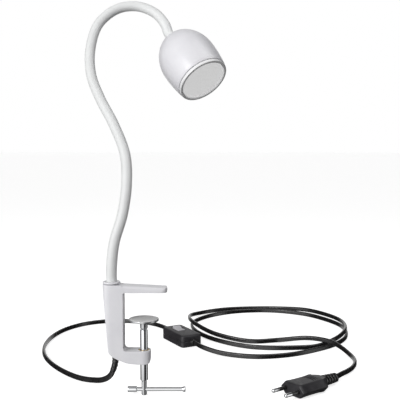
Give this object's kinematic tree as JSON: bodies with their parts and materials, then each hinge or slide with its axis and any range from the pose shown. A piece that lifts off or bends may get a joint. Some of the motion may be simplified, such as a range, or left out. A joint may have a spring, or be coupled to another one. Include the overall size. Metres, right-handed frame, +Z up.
{
  "type": "clamp-on reading lamp",
  "caption": "Gooseneck reading lamp with a C-shaped screw clamp, an egg-shaped shade round a frosted reflector lamp, and a mains lead with an inline switch and a two-pin plug.",
  "frame": {"origin": "on the flat underside of the clamp's upper arm, on the clamp screw's axis", "axes": "+X along the arm to its tip, +Y to the lamp's back, +Z up along the clamp screw"},
  "size_m": [0.4011, 0.4068, 0.4173],
  "materials": {
    "white_paint": "smooth satin powder coat",
    "white_sleeve": "smooth satin sleeve",
    "white_plastic": "smooth moulded",
    "frosted_lens": "fine frosted",
    "ceramic": "glazed",
    "cast_aluminium": "satin",
    "chrome_plate": "polished plate",
    "bright_steel": "bright turned",
    "brass": "bright",
    "grey_facing": "matte",
    "black_pvc": "smooth gloss PVC",
    "dark_plastic": "fine moulded texture",
    "rocker_plastic": "satin"
  },
  "bodies": {
    "root": {"clamp_body": "white_paint", "neck_collar": "white_paint", "neck_lower_ferrule": "bright_steel", "neck_grub_screw": "bright_steel", "thread_insert": "brass", "neck_link_0": "white_sleeve", "cord_strain_relief": "black_pvc", "cord_lamp_side": "black_pvc", "cord_plug_side": "black_pvc", "switch_base": "dark_plastic", "switch_cover": "dark_plastic", "switch_pivot": "bright_steel", "switch_contact_in": "brass", "switch_contact_out": "brass", "switch_screw": "bright_steel", "switch_relief_in": "black_pvc", "switch_relief_out": "black_pvc", "plug_body": "dark_plastic", "plug_relief": "black_pvc", "plug_pin_left": "chrome_plate", "plug_pin_right": "chrome_plate", "plug_pin_sleeve_left": "black_pvc", "plug_pin_sleeve_right": "black_pvc"},
    "carriage": {"swivel_ball_stud": "bright_steel"},
    "screw": {"clamp_screw": "chrome_plate"},
    "bar": {"tommy_bar": "chrome_plate", "tommy_bar_cap": "chrome_plate"},
    "pad": {"pad_disc": "bright_steel", "pad_facing": "grey_facing"},
    "neck_1": {"neck_link_1": "white_sleeve"},
    "neck_2": {"neck_link_2": "white_sleeve"},
    "neck_3": {"neck_link_3": "white_sleeve"},
    "neck_4": {"neck_link_4": "white_sleeve"},
    "neck_5": {"neck_link_5": "white_sleeve"},
    "neck_6": {"neck_link_6": "white_sleeve"},
    "neck_7": {"neck_link_7": "white_sleeve"},
    "neck_8": {"neck_link_8": "white_sleeve"},
    "neck_9": {"neck_link_9": "white_sleeve", "shade": "white_paint", "front_ring": "white_plastic", "neck_upper_ferrule": "bright_steel", "shade_nut": "bright_steel", "holder_cup": "bright_steel", "lampholder": "ceramic", "lamp_base": "white_plastic", "lamp_housing": "cast_aluminium", "lamp_lens": "frosted_lens", "lamp_pin_left": "brass", "lamp_pin_right": "brass"},
    "rocker": {"switch_rocker": "rocker_plastic"}
  },
  "joints": [
    {"name": "screw_travel", "type": "slide", "parent": "root", "child": "carriage", "axis": [0, 0, 1], "range_m": [-0.0212, 0.0242]},
    {"name": "screw_turn", "type": "hinge", "parent": "carriage", "child": "screw", "pos_m": [0, 0, -0.07], "axis": [0, 0, 1], "range_deg": [-6048, 6912], "deforming": ["cord_strain_relief", "cord_lamp_side"]},
    {"name": "bar_slide", "type": "slide", "parent": "screw", "child": "bar", "axis": [1, 0, 0], "range_m": [-0.0352, 0.0044]},
    {"name": "pad_swivel", "type": "hinge", "parent": "carriage", "child": "pad", "pos_m": [0, 0, -0.0346], "axis": [0, 1, 0], "range_deg": [-8, 8]},
    {"name": "neck_bend_1", "type": "hinge", "parent": "root", "child": "neck_1", "pos_m": [-0.02941, 0.00155, 0.05047], "axis": [-0.0218, 0.9941, -0.1058], "range_deg": [-25, 25]},
    {"name": "neck_bend_2", "type": "hinge", "parent": "neck_1", "child": "neck_2", "pos_m": [-0.01941, 0.00889, 0.09039], "axis": [-0.991, 0, 0.134], "range_deg": [-25, 25]},
    {"name": "neck_bend_3", "type": "hinge", "parent": "neck_2", "child": "neck_3", "pos_m": [-0.01896, 0.0225, 0.12987], "axis": [0.0532, 0.9212, -0.3855], "range_deg": [-25, 25]},
    {"name": "neck_bend_4", "type": "hinge", "parent": "neck_3", "child": "neck_4", "pos_m": [-0.03198, 0.03898, 0.16594], "axis": [-0.8953, 0, -0.4455], "range_deg": [-25, 25]},
    {"name": "neck_bend_5", "type": "hinge", "parent": "neck_4", "child": "neck_5", "pos_m": [-0.05055, 0.05658, 0.19911], "axis": [0.1911, 0.9041, -0.3823], "range_deg": [-25, 25]},
    {"name": "neck_bend_6", "type": "hinge", "parent": "neck_5", "child": "neck_6", "pos_m": [-0.06338, 0.07447, 0.23454], "axis": [-0.9897, 0, -0.1431], "range_deg": [-25, 25]},
    {"name": "neck_bend_7", "type": "hinge", "parent": "neck_6", "child": "neck_7", "pos_m": [-0.06074, 0.09058, 0.27287], "axis": [-0.0976, 0.936, -0.3382], "range_deg": [-35, 12]},
    {"name": "neck_bend_8", "type": "hinge", "parent": "neck_7", "child": "neck_8", "pos_m": [-0.03507, 0.10266, 0.3019], "axis": [-0.3799, 0, 0.925], "range_deg": [-25, 25]},
    {"name": "neck_bend_9", "type": "hinge", "parent": "neck_8", "child": "neck_9", "pos_m": [0.00454, 0.09952, 0.29748], "axis": [0.2349, 0.9602, -0.1512], "range_deg": [-35, 25]},
    {"name": "switch_rocking", "type": "hinge", "parent": "root", "child": "rocker", "pos_m": [0.0291, 0.20698, -0.095], "axis": [0.8729, 0.4879, 0], "range_deg": [-14, 0]}
  ],
  "couplings": [
    {"joint": "screw_travel", "follows": "screw_turn", "m_per_rad": 0.00019894}
  ]
}
